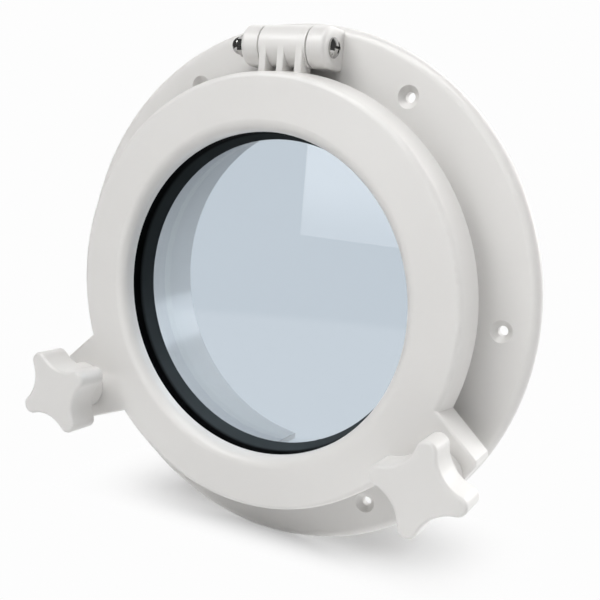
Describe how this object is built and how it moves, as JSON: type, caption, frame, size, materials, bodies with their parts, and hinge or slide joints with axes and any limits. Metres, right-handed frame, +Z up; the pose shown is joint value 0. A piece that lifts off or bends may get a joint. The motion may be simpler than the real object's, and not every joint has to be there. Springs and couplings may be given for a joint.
{
  "type": "porthole window",
  "caption": "Round opening porthole window: moulded frame with a wall sleeve, glazed door hinged at the top, black glazing seal and star clamp knobs.",
  "frame": {"origin": "centre of the circle of fixing holes, on the flange's back face, which lies on the wall", "axes": "+Y along the window's axis from the room into the wall, +Z up to the hinge, +X to the right seen from the room"},
  "size_m": [0.298, 0.114, 0.298],
  "materials": {
    "white_moulding": "white moulding with a soft gloss and a very fine texture",
    "black_rubber": "black extruded rubber, satin",
    "tinted_glass": "clear toughened glass with a faint blue-grey tint",
    "stainless": "bright stainless steel",
    "white_nylon": "natural nylon, matt",
    "brass": "turned brass"
  },
  "bodies": {
    "frame": {"frame": "white_moulding", "threaded_insert_left": "brass", "threaded_insert_right": "brass", "hinge_pin": "stainless", "hinge_screw": "stainless", "hinge_nut": "stainless"},
    "door": {"door": "white_moulding", "compression_gasket": "black_rubber", "glazing_seal": "black_rubber", "glass_pane": "tinted_glass", "glazing_retainer": "white_moulding", "retainer_screws": "stainless"},
    "clamp_left": {"thrust_washer_left": "white_nylon"},
    "clamp_right": {"thrust_washer_right": "white_nylon"},
    "knob_left": {"knob_left": "white_moulding", "stud_left": "stainless", "stud_clip_left": "stainless"},
    "knob_right": {"knob_right": "white_moulding", "stud_right": "stainless", "stud_clip_right": "stainless"}
  },
  "joints": [
    {"name": "door_hinge", "type": "hinge", "parent": "frame", "child": "door", "pos_m": [0, -0.01925, 0.1345], "axis": [-1, 0, 0], "range_deg": [0, 120]},
    {"name": "clamp_left_slide", "type": "slide", "parent": "door", "child": "clamp_left", "axis": [0, -1, 0], "range_m": [0, 0.009]},
    {"name": "clamp_right_slide", "type": "slide", "parent": "door", "child": "clamp_right", "axis": [0, -1, 0], "range_m": [0, 0.009]},
    {"name": "knob_left_turn", "type": "hinge", "parent": "clamp_left", "child": "knob_left", "pos_m": [-0.11694, -0.042, -0.07138], "axis": [0, -1, 0], "range_deg": [0, 2592]},
    {"name": "knob_right_turn", "type": "hinge", "parent": "clamp_right", "child": "knob_right", "pos_m": [0.11694, -0.042, -0.07138], "axis": [0, -1, 0], "range_deg": [0, 2592]}
  ],
  "couplings": [
    {"joint": "clamp_left_slide", "follows": "knob_left_turn", "m_per_rad": 0.00019894},
    {"joint": "clamp_right_slide", "follows": "knob_right_turn", "m_per_rad": 0.00019894}
  ]
}
